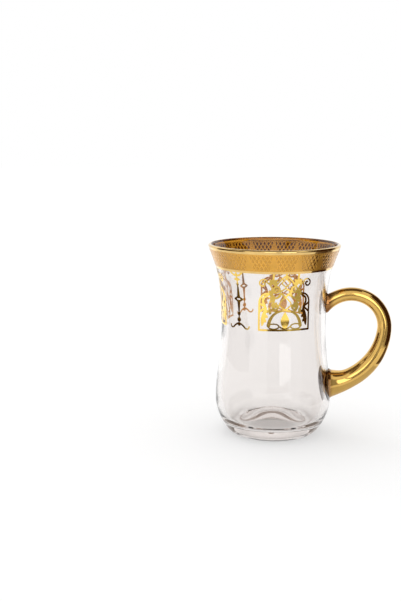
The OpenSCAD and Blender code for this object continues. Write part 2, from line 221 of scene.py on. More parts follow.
class HandleLine:
    """The centreline, radius and ring planes of the handle, from its upper to its lower root."""
    # how far the first and last rings stand off the wall
    STAND = 0.8 * MM
    # share of the upper bend after which the rod swells
    SWELL_FROM = 0.7
    # length of the flare at the lower root, in diameters of the lower rod
    FLARE_RODS = 1.2
    # length over which the end rings turn to face the wall, in rod diameters
    TURN_RODS = 1.3
    # halvings in the search for a root
    HALVINGS = 30

    def __init__(self, h, wall):
        self.h, self.wall = h, wall
        self.rod_r = h.rod_d / 2
        self.upper_c = Vector((wall.g.waist_d / 2 + h.finger_room + self.rod_r - h.upper_bend_r, h.bend_h))
        turn = Vector((math.cos(h.bend_change), math.sin(h.bend_change)))
        self.lower_c = self.upper_c + (h.upper_bend_r - h.lower_bend_r) * turn
        self.top_a = self.root(self.upper_c, h.upper_bend_r, math.radians(90), math.radians(170))
        self.low_a = self.root(self.lower_c, h.lower_bend_r, math.radians(-40), math.radians(-110))
        self.upper_len = h.upper_bend_r * (self.top_a - h.bend_change)
        self.length = self.upper_len + h.lower_bend_r * (h.bend_change - self.low_a)

    def root(self, centre, radius, low, high):
        """The angle at which a bend comes up to the wall."""
        for _ in range(self.HALVINGS):
            mid = (low + high) / 2
            x, z = centre.x + radius * math.cos(mid), centre.y + radius * math.sin(mid)
            if x > self.wall.outer(z) + self.STAND:
                low = mid
            else:
                high = mid
        return (low + high) / 2

    def at(self, s):
        """The angle of the bend and the point on the centreline at a distance from the upper root."""
        h = self.h
        if s < self.upper_len:
            a, c, r = self.top_a - s / h.upper_bend_r, self.upper_c, h.upper_bend_r
        else:
            a, c, r = h.bend_change - (s - self.upper_len) / h.lower_bend_r, self.lower_c, h.lower_bend_r
        return a, Vector((c.x + r * math.cos(a), 0.0, c.y + r * math.sin(a)))

    def radius(self, s):
        h = self.h
        swell_from = self.SWELL_FROM * self.upper_len
        swell = ease((s - swell_from) / (self.length - swell_from))
        flare = max(0.0, 1 - (self.length - s) / (self.FLARE_RODS * h.low_rod_d)) ** 2
        return self.rod_r + (h.low_rod_d - h.rod_d) / 2 * swell + (h.low_root_d - h.low_rod_d) / 2 * flare

    def ring(self, s, layer):
        """The matrix that lays a unit circle round the rod. The last rings turn to face the wall."""
        a, p = self.at(s)
        turn_len = self.TURN_RODS * self.h.rod_d
        if s < self.length / 2:
            d = ease(1 - s / turn_len) * (math.pi / 2 - a)
        else:
            d = ease(1 - (self.length - s) / turn_len) * (-math.pi / 2 - a)
        r = self.radius(s) + layer
        across = Vector((math.cos(a + d), 0.0, math.sin(a + d))) * (r / math.cos(d))
        side = Vector((0.0, r, 0.0))
        along = across.cross(side).normalized()
        m = Matrix((across, side, along)).transposed().to_4x4()
        m.translation = p
        return m


# Mesh helpers

def put_object(name, bm, materials, node):
    """Makes the finished mesh an object that stands for a node of the solid model."""
    mesh = bpy.data.meshes.new(name)
    for f in bm.faces:
        f.smooth = True
    for e in bm.edges:
        e.smooth = e.calc_face_angle(0.0) < SHARP_EDGE
    bm.to_mesh(mesh)
    bm.free()
    for m in materials:
        mesh.materials.append(m)
    obj = bpy.data.objects.new(name, mesh)
    bpy.context.scene.collection.objects.link(obj)
    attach(obj, BODY)
    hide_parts(node)


def turn_profile(profile, steps, closed):
    """Spins a line of radius and height points round the axis."""
    bm = bmesh.new()
    verts = [bm.verts.new((r, 0.0, z)) for r, z in profile]
    edges = [bm.edges.new(pair) for pair in zip(verts, verts[1:])]
    if closed:
        edges.append(bm.edges.new((verts[-1], verts[0])))
    bmesh.ops.spin(bm, geom=verts + edges, cent=(0, 0, 0), axis=(0, 0, 1), angle=2 * math.pi, steps=steps,
                   use_merge=True)
    bmesh.ops.remove_doubles(bm, verts=bm.verts, dist=MERGE_DISTANCE)
    bmesh.ops.recalc_face_normals(bm, faces=bm.faces)
    return bm


def sweep_rings(bm, matrices, sides):
    """Extrudes a circle through a row of ring matrices, and returns its first and last edges."""
    made = bmesh.ops.create_circle(bm, segments=sides, radius=1.0)
    ring = made["verts"]
    first = edges = list({e for v in ring for e in v.link_edges})
    bmesh.ops.transform(bm, matrix=matrices[0], verts=ring)
    for back, there in zip(matrices, matrices[1:]):
        out = bmesh.ops.extrude_edge_only(bm, edges=edges)["geom"]
        ring = [v for v in out if isinstance(v, bmesh.types.BMVert)]
        edges = [e for e in out if isinstance(e, bmesh.types.BMEdge)]
        bmesh.ops.transform(bm, matrix=there @ back.inverted(), verts=ring)
    return first, edges


def smooth_path(points, step):
    """A smooth run of points through a path, about one step apart."""
    pts = [Vector(p) for p in points]
    out = []
    for i in range(len(pts) - 1):
        a, b = pts[max(0, i - 1)], pts[i]
        c, d = pts[i + 1], pts[min(len(pts) - 1, i + 2)]
        n = max(2, round((c - b).length / step))
        for k in range(n):
            t = k / n
            out.append(b + t / 2 * (c - a + t * (2 * a - 5 * b + 4 * c - d + t * (3 * (b - c) + d - a))))
    return out + [pts[-1]]


class Drawing:
    """A flat drawing of gold strokes: across in x, up in y, layered in z."""
    # distance between the points of a smooth stroke
    STEP = 0.35 * MM
    # turns of the points that round off a stroke's end, in radians
    CAP_TURNS = (0.5, 1.0, 1.45)
    # depth of each stroke under the one before, so that no two faces share a plane
    HAIR = 4e-7
    RING_POINTS = 28
    ARC_STEPS = 18
    CURL_STEPS = 34
    LEAF_STEPS = 10
    # part of a sine that a leaf's width follows, its power, and its least share
    LEAF_FROM = 0.12
    LEAF_TO = 0.92
    LEAF_POWER = 1.2
    LEAF_LEAST = 0.08
    BEAD_STEPS = 12
    # share of the half turn that a bead takes up, and its least width
    BEAD_TURN = 0.98
    BEAD_LEAST = 0.04

    def __init__(self, size, film, sink):
        self.bm = bmesh.new()
        self.size, self.film, self.sink = size, film, sink
        self.count = 0

    def at(self, p):
        """The place of a point that is given in shares of the drawing."""
        return Vector((p[0] * self.size[0], p[1] * self.size[1]))

    def cap(self, before, last):
        """The points and widths that round off a stroke past its last point."""
        p, w = last
        way = (p - before[0]).normalized()
        return [(p + way * (w / 2 * math.sin(a)), w * math.cos(a)) for a in self.CAP_TURNS]

    def stroke(self, points, widths, closed=False):
        """A line of gold through points, with round ends and a width at each point."""
        run = list(zip(points, widths))
        if not closed:
            run = self.cap(run[1], run[0])[::-1] + run + self.cap(run[-2], run[-1])
        n = len(run)
        sides = []
        for i, (p, w) in enumerate(run):
            before = run[i - 1] if closed else run[max(0, i - 1)]
            after = run[(i + 1) % n] if closed else run[min(n - 1, i + 1)]
            way = after[0] - before[0]
            side = Vector((-way.y, way.x)).normalized() * (w / 2)
            sides.append((p + side, p - side))
        self.ribbon(sides, closed)

    def fill(self, points, widths):
        """A filled shape, given by a line up its middle and its width along it."""
        halves = [Vector((w / 2, 0)) for w in widths]
        self.ribbon([(p - half, p + half) for p, half in zip(points, halves)])

    def ribbon(self, sides, closed=False):
        """A strip of gold through pairs of left and right points."""
        bm = self.bm
        left, right = sides[0]
        edge = first = bm.edges.new((bm.verts.new((*left, 0)), bm.verts.new((*right, 0))))
        faces = []
        for left, right in sides[1:]:
            out = bmesh.ops.extrude_edge_only(bm, edges=[edge])["geom"]
            faces += [f for f in out if isinstance(f, bmesh.types.BMFace)]
            edge = next(e for e in out if isinstance(e, bmesh.types.BMEdge) and len(e.link_faces) == 1
                        and all(v in out for v in e.verts))
            near, away = sorted(edge.verts, key=lambda v: (v.co.xy - left).length)
            near.co.xy = left
            away.co.xy = right
        if closed:
            faces += bmesh.ops.bridge_loops(bm, edges=[first, edge])["faces"]
        self.thicken(faces)

    def thicken(self, faces):
        """Gives a stroke its two sides. Each stroke lies a hair under the one before."""
        hair = self.count * self.HAIR
        self.count += 1
        verts = list({v for f in faces for v in f.verts})
        bmesh.ops.recalc_face_normals(self.bm, faces=faces)
        faces[0].normal_update()
        if faces[0].normal.z < 0:
            bmesh.ops.reverse_faces(self.bm, faces=faces)
        top = bmesh.ops.extrude_face_region(self.bm, geom=faces, use_keep_orig=True)["geom"]
        up = [v for v in top if isinstance(v, bmesh.types.BMVert)]
        bmesh.ops.reverse_faces(self.bm, faces=faces)
        for f in faces:
            f.material_index = 1
        bmesh.ops.translate(self.bm, vec=(0, 0, self.film - hair), verts=up)
        bmesh.ops.translate(self.bm, vec=(0, 0, -self.sink - hair), verts=verts)

    def line(self, path, w0, w1=None):
        """A smooth stroke through a path of shares, from one width to another."""
        pts = smooth_path([self.at(p) for p in path], self.STEP)
        self.stroke(pts, fade(w0, w0 if w1 is None else w1, len(pts) - 1))

    def straight(self, path, w):
        """Straight strokes from each point of a path to the next."""
        for a, b in zip(path, path[1:]):
            self.line([a, b], w)

    def oval(self, mid, size, turns):
        """Points on an oval at the turns given."""
        c, s = self.at(mid), self.at(size)
        return [c + Vector((s.x * math.cos(t), s.y * math.sin(t))) for t in turns]

    def ring(self, mid, size, w):
        """An oval of line."""
        turns = fade(0.0, 2 * math.pi, self.RING_POINTS)[:-1]
        self.stroke(self.oval(mid, size, turns), [w] * len(turns), closed=True)

    def arc(self, mid, size, a0, a1, w):
        """Part of an oval of line, between two angles."""
        turns = fade(math.radians(a0), math.radians(a1), self.ARC_STEPS)
        self.stroke(self.oval(mid, size, turns), [w] * len(turns))

    def curl(self, mid, r0, r1, a0, a1, w0, w1):
        """A stroke that winds from one radius and angle to another."""
        n = self.CURL_STEPS
        c = self.at(mid)
        turns = fade(math.radians(a0), math.radians(a1), n)
        pts = [c + r * Vector((math.cos(a), math.sin(a))) for r, a in zip(fade(r0, r1, n), turns)]
        self.stroke(pts, fade(w0, w1, n))

    def leaf(self, a, b, w):
        """A leaf from one place to another, widest past its middle."""
        n = self.LEAF_STEPS
        shares = [math.sin(math.pi * t ** self.LEAF_POWER) for t in fade(self.LEAF_FROM, self.LEAF_TO, n)]
        self.stroke(fade(a, b, n), [w * max(self.LEAF_LEAST, share) for share in shares])

    def bead(self, p, r):
        """A filled round bead."""
        c = self.at(p)
        half = self.BEAD_TURN * math.pi / 2
        turns = fade(-half, half, self.BEAD_STEPS)
        self.fill([c + Vector((0, r * math.sin(t))) for t in turns],
                  [2 * r * max(self.BEAD_LEAST, math.cos(t)) for t in turns])

    def wrapped(self, wall, phi, low_z):
        """A copy of the drawing laid on the wall, its foot at a height and its middle at an angle."""
        bm = self.bm.copy()
        for v in bm.verts:
            z = low_z + v.co.y
            r = wall.outer(z)
            a = phi + v.co.x / r
            v.co = ((r + v.co.z) * math.cos(a), (r + v.co.z) * math.sin(a), z)
        bm.normal_update()
        return bm


# Finishes

def node_group(name, inputs, outputs):
    """A new node group with its sockets, and its input and output nodes."""
    group = bpy.data.node_groups.new(name, "ShaderNodeTree")
    for label, kind, default in inputs:
        s = group.interface.new_socket(name=label, in_out="INPUT", socket_type=kind)
        if default is not None:
            s.default_value = default
    for label, kind in outputs:
        group.interface.new_socket(name=label, in_out="OUTPUT", socket_type=kind)
    return group, group.nodes.new("NodeGroupInput"), group.nodes.new("NodeGroupOutput")


def set_inputs(node, values):
    """Puts plain values on the inputs of a node."""
    for name, value in values.items():
        node.inputs[name].default_value = value


def math_node(tree, op, a, b=None):
    """The result of a sum on one or two sockets or numbers."""
    n = tree.nodes.new("ShaderNodeMath")
    n.operation = op
    for i, v in enumerate((a, b)):
        if v is None:
            continue
        if isinstance(v, (int, float)):
            n.inputs[i].default_value = v
        else:
            tree.links.new(v, n.inputs[i])
    return n.outputs[0]


def map_node(tree, value, a, b, c, d):
    """A smooth rise from c to d as a value goes from a to b."""
    n = tree.nodes.new("ShaderNodeMapRange")
    n.interpolation_type = "SMOOTHSTEP"
    tree.links.new(value, n.inputs["Value"])
    set_inputs(n, {"From Min": a, "From Max": b, "To Min": c, "To Max": d})
    return n.outputs[0]


def mix_colors(tree, mask, socket, color):
    """A colour that goes from a socket's to a plain one as the mask rises."""
    n = tree.nodes.new("ShaderNodeMix")
    n.data_type = "RGBA"
    into = {i.identifier: i for i in n.inputs}
    tree.links.new(mask, into["Factor_Float"])
    tree.links.new(socket, into["A_Color"])
    into["B_Color"].default_value = (*color, 1)
    return next(o for o in n.outputs if o.identifier == "Result_Color")


def clouds(tree, scale, values):
    """Soft clouds over a piece, at the scale that a socket gives."""
    co = tree.nodes.new("ShaderNodeTexCoord")
    noise = tree.nodes.new("ShaderNodeTexNoise")
    set_inputs(noise, values)
    tree.links.new(co.outputs["Object"], noise.inputs["Vector"])
    tree.links.new(scale, noise.inputs["Scale"])
    return noise.outputs["Fac"]


def blown_waver():
    """Slow ripples, as blown and pressed glass has: a height for a bump."""
    t, gin, gout = node_group("blown_waver", [("Scale", "NodeSocketFloat", 40.0)],
                              [("Height", "NodeSocketFloat")])
    t.links.new(clouds(t, gin.outputs["Scale"], {"Detail": 1.0}), gout.inputs["Height"])
    return t


def fired_gold():
    """Brush clouds and wear of fired gold: a colour and a roughness that change over the surface."""
    t, gin, gout = node_group(
        "fired_gold",
        [("Color", "NodeSocketColor", (0.9, 0.7, 0.3, 1.0)), ("Scale", "NodeSocketFloat", 120.0),
         ("Rough low", "NodeSocketFloat", 0.1), ("Rough high", "NodeSocketFloat", 0.2)],
        [("Color", "NodeSocketColor"), ("Roughness", "NodeSocketFloat"), ("Height", "NodeSocketFloat")])
    cloud = clouds(t, gin.outputs["Scale"], {"Detail": 4.0, "Roughness": 0.6})
    value = map_node(t, cloud, 0.3, 0.7, 0.88, 1.06)
    hsv = t.nodes.new("ShaderNodeHueSaturation")
    t.links.new(gin.outputs["Color"], hsv.inputs["Color"])
    t.links.new(value, hsv.inputs["Value"])
    t.links.new(hsv.outputs["Color"], gout.inputs["Color"])
    span = math_node(t, "SUBTRACT", gin.outputs["Rough high"], gin.outputs["Rough low"])
    part = math_node(t, "MULTIPLY", map_node(t, cloud, 0.3, 0.75, 0.0, 1.0), span)
    t.links.new(math_node(t, "ADD", part, gin.outputs["Rough low"]), gout.inputs["Roughness"])
    t.links.new(cloud, gout.inputs["Height"])
    return t


# columns and rows of cells in one repeat of the net
NET_COLUMNS = 6.0
NET_ROWS = 2.5
# half width of the plain wedge between two repeats, how far it tapers upwards, and its soft edge
WEDGE_HALF = 0.18
WEDGE_TAPER = 0.15
WEDGE_SOFT = 0.03
# where a cell ends, from its middle, and where the net ends, from the middle of the band
CELL_EDGE = (0.30, 0.36)
BAND_EDGE = (0.42, 0.46)


def net_press(u, v, repeats):
    """The same cells as net_cells, as a depth: nought on the net and one in its cells."""
    x = (u * repeats) % 1.0 - 0.5
    room = 0.5 - abs(x) - (WEDGE_HALF - WEDGE_TAPER * v)
    cols, rows = NET_COLUMNS * x, NET_ROWS * v
    side = max(abs((cols + rows) % 1.0 - 0.5), abs((cols - rows) % 1.0 - 0.5))
    lozenge = 1 - ease((side - CELL_EDGE[0]) / (CELL_EDGE[1] - CELL_EDGE[0]))
    edge = 1 - ease((abs(v - 0.5) - BAND_EDGE[0]) / (BAND_EDGE[1] - BAND_EDGE[0]))
    return lozenge * ease(room / WEDGE_SOFT) * edge


def net_cells():
    """The net of the band: lozenge cells between plain upright wedges, as a mask."""
    t, gin, gout = node_group(
        "net_cells", [("UV", "NodeSocketVector", None), ("Repeats", "NodeSocketFloat", 16.0)],
        [("Cell", "NodeSocketFloat")])
    sep = t.nodes.new("ShaderNodeSeparateXYZ")
    t.links.new(gin.outputs["UV"], sep.inputs[0])
    u, v = sep.outputs["X"], sep.outputs["Y"]
    along = math_node(t, "MULTIPLY", u, gin.outputs["Repeats"])
    x = math_node(t, "SUBTRACT", math_node(t, "FRACT", along), 0.5)
    wedge = math_node(t, "SUBTRACT", 0.5, math_node(t, "ABSOLUTE", x))
    taper = math_node(t, "MULTIPLY", v, -WEDGE_TAPER)
    room = math_node(t, "SUBTRACT", wedge, math_node(t, "ADD", taper, WEDGE_HALF))
    clear = map_node(t, room, 0.0, WEDGE_SOFT, 0.0, 1.0)
    cols, rows = math_node(t, "MULTIPLY", x, NET_COLUMNS), math_node(t, "MULTIPLY", v, NET_ROWS)
    sides = []
    for op in ("ADD", "SUBTRACT"):
        f = math_node(t, "FRACT", math_node(t, op, cols, rows))
        sides.append(math_node(t, "ABSOLUTE", math_node(t, "SUBTRACT", f, 0.5)))
    lozenge = map_node(t, math_node(t, "MAXIMUM", sides[0], sides[1]), *CELL_EDGE, 1.0, 0.0)
    off_middle = math_node(t, "ABSOLUTE", math_node(t, "SUBTRACT", v, 0.5))
    edge = map_node(t, off_middle, *BAND_EDGE, 1.0, 0.0)
    mask = math_node(t, "MULTIPLY", math_node(t, "MULTIPLY", lozenge, clear), edge)
    t.links.new(mask, gout.inputs["Cell"])
    return t


def use_group(tree, maker, values):
    """A shared node group with plain values on its inputs. The group is made at its first use."""
    n = tree.nodes.new("ShaderNodeGroup")
    n.node_tree = bpy.data.node_groups.get(maker.__name__) or maker()
    set_inputs(n, values)
    return n


def new_material(name):
    """A new material: itself, its node tree and its main shader."""
    m = bpy.data.materials.new(name)
    m.use_nodes = True
    return m, m.node_tree, m.node_tree.nodes["Principled BSDF"]


def bump(tree, height, strength, distance, into):
    """Bends a normal by a height."""
    b = tree.nodes.new("ShaderNodeBump")
    set_inputs(b, {"Strength": strength, "Distance": distance})
    tree.links.new(height, b.inputs["Height"])
    tree.links.new(b.outputs["Normal"], into)


def clear_glass():
    """Clear glass with slow ripples, which warms where it is thick."""
    if "glass_clear" in bpy.data.materials:
        return bpy.data.materials["glass_clear"]
    f = bpy.context.scene.tea_glass.finish
    m, t, p = new_material("glass_clear")
    set_inputs(p, {"Base Color": (*f.glass_face, 1), "Roughness": 0.0, "IOR": 1.51,
                   "Transmission Weight": 1.0})
    waver = use_group(t, blown_waver, {"Scale": 55.0})
    bump(t, waver.outputs["Height"], 0.35, 0.6 * MM, p.inputs["Normal"])
    depth = t.nodes.new("ShaderNodeVolumeAbsorption")
    set_inputs(depth, {"Color": (*f.glass_tint, 1), "Density": 6.0})
    t.links.new(depth.outputs["Volume"], t.nodes["Material Output"].inputs["Volume"])
    return m


def gold(name, color, rough, dents, glaze=0.0, scale=140.0):
    """A gold finish: its colour, least and most roughness, depth of dents, glaze and scale of clouds."""
    if name in bpy.data.materials:
        return bpy.data.materials[name]
    m, t, p = new_material(name)
    set_inputs(p, {"Metallic": 1.0, "Coat Weight": glaze, "Coat Roughness": 0.05})
    g = use_group(t, fired_gold, {"Color": (*color, 1), "Scale": scale, "Rough low": rough[0],
                                  "Rough high": rough[1]})
    t.links.new(g.outputs["Color"], p.inputs["Base Color"])
    t.links.new(g.outputs["Roughness"], p.inputs["Roughness"])
    bump(t, g.outputs["Height"], 0.3, dents, p.inputs["Normal"])
    return m


# distances from the waist over which the painted shade at the handle's roots fades from brown to the bright
# gold
ROOT_SHADE_FADE = (1.2 * MM, 4.2 * MM)


def handle_gold(name, color, root_shade_color):
    """The handle's finish: bright gold, darkened to brown by painted shade where the rod meets the wall."""
    m = gold(name, color, rough=(0.06, 0.14), dents=0.05 * MM, glaze=0.3, scale=90.0)
    g = bpy.context.scene.tea_glass.glass
    t = m.node_tree
    p = t.nodes["Principled BSDF"]
    bright = p.inputs["Base Color"].links[0].from_socket
    co = t.nodes.new("ShaderNodeTexCoord")
    sep = t.nodes.new("ShaderNodeSeparateXYZ")
    t.links.new(co.outputs["Object"], sep.inputs[0])
    # painted shade: the gold turns brown near the wall, at both roots
    near = map_node(t, sep.outputs["X"], *(g.waist_d / 2 + off for off in ROOT_SHADE_FADE), 0.85, 0.0)
    t.links.new(mix_colors(t, near, bright, root_shade_color), p.inputs["Base Color"])
    return m


def dull_gold(name, color):
    """The brown back of the gold at the rod's ends, seen through the wall, made dull and dark as painted
    shade at the joint.
    """
    m = gold(name, color, rough=(0.5, 0.7), dents=0.05 * MM, scale=90.0)
    set_inputs(m.node_tree.nodes["Principled BSDF"], {"Metallic": 0.0, "Specular IOR Level": 0.1})
    return m


def net_gold(name, color, cell_color, rough, cell_rough, glaze=0.0):
    """The band's finish: a matt gold net round smoother, deeper cells."""
    if name in bpy.data.materials:
        return bpy.data.materials[name]
    s = bpy.context.scene.tea_glass.gilt
    m, t, p = new_material(name)
    set_inputs(p, {"Metallic": 1.0, "Coat Weight": glaze, "Coat Roughness": 0.15})
    uv = t.nodes.new("ShaderNodeUVMap")
    uv.uv_map = "round_the_band"
    net = use_group(t, net_cells, {"Repeats": s.net_repeats})
    t.links.new(uv.outputs["UV"], net.inputs["UV"])
    g = use_group(t, fired_gold, {"Color": (*color, 1), "Scale": 180.0, "Rough low": rough,
                                  "Rough high": rough + 0.1})
    t.links.new(mix_colors(t, net.outputs["Cell"], g.outputs["Color"], cell_color), p.inputs["Base Color"])
    net_only = math_node(t, "SUBTRACT", 1.0, net.outputs["Cell"])
    matt = math_node(t, "MULTIPLY", g.outputs["Roughness"], net_only)
    smooth = math_node(t, "MULTIPLY", net.outputs["Cell"], cell_rough)
    t.links.new(math_node(t, "ADD", matt, smooth), p.inputs["Roughness"])
    bump(t, net_only, 0.35, 0.08 * MM, p.inputs["Normal"])
    return m


def bright_pair():
    """The bright gold of the ornament, and its back."""
    f = bpy.context.scene.tea_glass.finish
    return [gold("gold_bright", f.bright_gold, rough=(0.06, 0.16), dents=0.04 * MM, glaze=0.4),
            gold("gold_bright_glass_side", f.glass_side, rough=(0.12, 0.25), dents=0.03 * MM)]


# The steps that build the pieces and the stage

class TEAGLASS_OT_body(Operator):
    """Spin the clear vessel: foot, hollow, wall, lip and rounded floor"""
    bl_idname = "teaglass.body"
    bl_label = "Glass body"

    FLOOR_STEPS = 30
    HEEL_STEPS = 30
    # power that crowds the rings of the heel towards the foot
    HEEL_CROWDING = 2.2
    WALL_STEPS = 84
    LIP_STEPS = 14
    INNER_STEPS = 64
    ROUND_STEPS = 20
    # width of the eased edge of the foot
    FOOT_EASE = 0.3 * MM

    def execute(self, context):
        g = context.scene.tea_glass.glass
        w = WallLine(g)
        punt_r = g.foot_d / 2 - g.foot_ring_w
        line = [(punt_r * t, g.punt_depth * w.kick(t)) for t in fade(0.0, 1.0, self.FLOOR_STEPS)]
        line.append((g.foot_d / 2 - self.FOOT_EASE, 0.0))
        heel = [g.bulge_h * t ** self.HEEL_CROWDING for t in fade(0.0, 1.0, self.HEEL_STEPS)[:-1]]
        line += [(w.outer(z), z) for z in heel + fade(g.bulge_h, w.lip_z, self.WALL_STEPS)]
        for a in fade(0.0, math.pi, self.LIP_STEPS)[1:-1]:
            line.append((w.lip_c + w.lip_r * math.cos(a), w.lip_z + w.lip_r * math.sin(a)))
        line += [(w.inner(z), z) for z in fade(w.lip_z, g.bowl_h, self.INNER_STEPS)]
        low_r, wide_r = g.valley_d / 2, w.inner(g.bowl_h)
        for a in fade(math.pi / 2, 0.0, self.ROUND_STEPS)[1:]:
            r = low_r + (wide_r - low_r) * math.sin(a)
            line.append((r, g.bowl_h - (g.bowl_h - g.valley_h) * math.cos(a)))
        dome = g.punt_depth + g.floor_t - g.valley_h
        line += [(low_r * t, g.valley_h + dome * w.kick(t)) for t in fade(1.0, 0.0, self.FLOOR_STEPS)[1:]]
        bm = turn_profile(line, TURNS, closed=False)
        put_object("tea_glass_body", bm, [clear_glass()], "glass_body")
        return {"FINISHED"}


class TEAGLASS_OT_handle(Operator):
    """Sweep the glass rod of the handle and the gold that covers it"""
    bl_idname = "teaglass.handle"
    bl_label = "Handle"

    SIDES = 56
    RINGS = 110
    # shares by which the gold spreads at the wall, and the rod's end inside the wall
    ROOT_BEAD = 1.08
    WELD_BEAD = 1.3
    # shares by which the rings that close the rod's end draw in
    ROOT_RINGS = (0.7, 0.6, 0.33)
    # depth of the rod's end in the wall
    WELD = 1.8 * MM

    def run_on(self, bm, edges, wall, mid, share, depth):
        """Runs the end of a tube on to the wall, scaled about the middle of its root."""
        out = bmesh.ops.extrude_edge_only(bm, edges=edges)["geom"]
        for v in out:
            if isinstance(v, bmesh.types.BMVert):
                v.co.y *= share
                v.co.z = mid + (v.co.z - mid) * share
                v.co.x = math.sqrt(wall.outer(v.co.z) ** 2 - v.co.y ** 2) - depth
        return [e for e in out if isinstance(e, bmesh.types.BMEdge)]

    def tube(self, bm, line, layer, depth, bead):
        """A tube along the handle from wall to wall, and the edges and height of its two ends."""
        rings = [line.ring(s, layer) for s in fade(0.0, line.length, self.RINGS)]
        ends = []
        for edges, s in zip(sweep_rings(bm, rings, self.SIDES), (0.0, line.length)):
            mid = line.at(s)[1].z
            ends.append((self.run_on(bm, edges, line.wall, mid, bead, depth), mid))
        return ends

    def core(self, line):
        """The glass rod. Its ends lie in the wall, and show the brown back of the gold behind them,
        darkened as painted shade.
        """
        bm = bmesh.new()
        ends = self.tube(bm, line, 0.0, self.WELD, self.WELD_BEAD)
        clear = set(bm.faces)
        for edges, mid in ends:
            for share in self.ROOT_RINGS:
                edges = self.run_on(bm, edges, line.wall, mid, share, self.WELD)
            bmesh.ops.edgeloop_fill(bm, edges=edges)
        for f in bm.faces:
            f.material_index = 0 if f in clear else 1
        bmesh.ops.recalc_face_normals(bm, faces=bm.faces)
        return bm

    def sleeve(self, line, film, sink):
        """The gold on the rod: an outer and an inner tube, joined at the wall."""
        bm = bmesh.new()
        outer = self.tube(bm, line, film, 0.0, self.ROOT_BEAD)
        outside = set(bm.faces)
        inner = self.tube(bm, line, -sink, sink, self.ROOT_BEAD)
        for f in bm.faces:
            f.material_index = 0 if f in outside else 1
        for a, b in zip(outer, inner):
            bmesh.ops.bridge_loops(bm, edges=a[0] + b[0])
        bmesh.ops.recalc_face_normals(bm, faces=bm.faces)
        return bm

    def execute(self, context):
        tg = context.scene.tea_glass
        wall = WallLine(tg.glass)
        line = HandleLine(tg.handle, wall)
        f = tg.finish
        # the rod's ends carry the gold's back, darkened as painted shade
        rod = [clear_glass(), dull_gold("gold_root_back_shaded", f.glass_side_root)]
        put_object("handle_rod", self.core(line), rod, "handle_core")
        back = gold("gold_handle_glass_side", f.glass_side_rod, rough=(0.2, 0.3), dents=0.05 * MM,
                    scale=90.0)
        # the handle's gold carries painted shade that turns it brown at the roots
        skin = [handle_gold("gold_handle", f.handle_gold, f.root_gold), back]
        bm = self.sleeve(line, tg.gilt.film, tg.gilt.sink)
        put_object("handle_gold_skin", bm, skin, "handle_gilding")
        return {"FINISHED"}


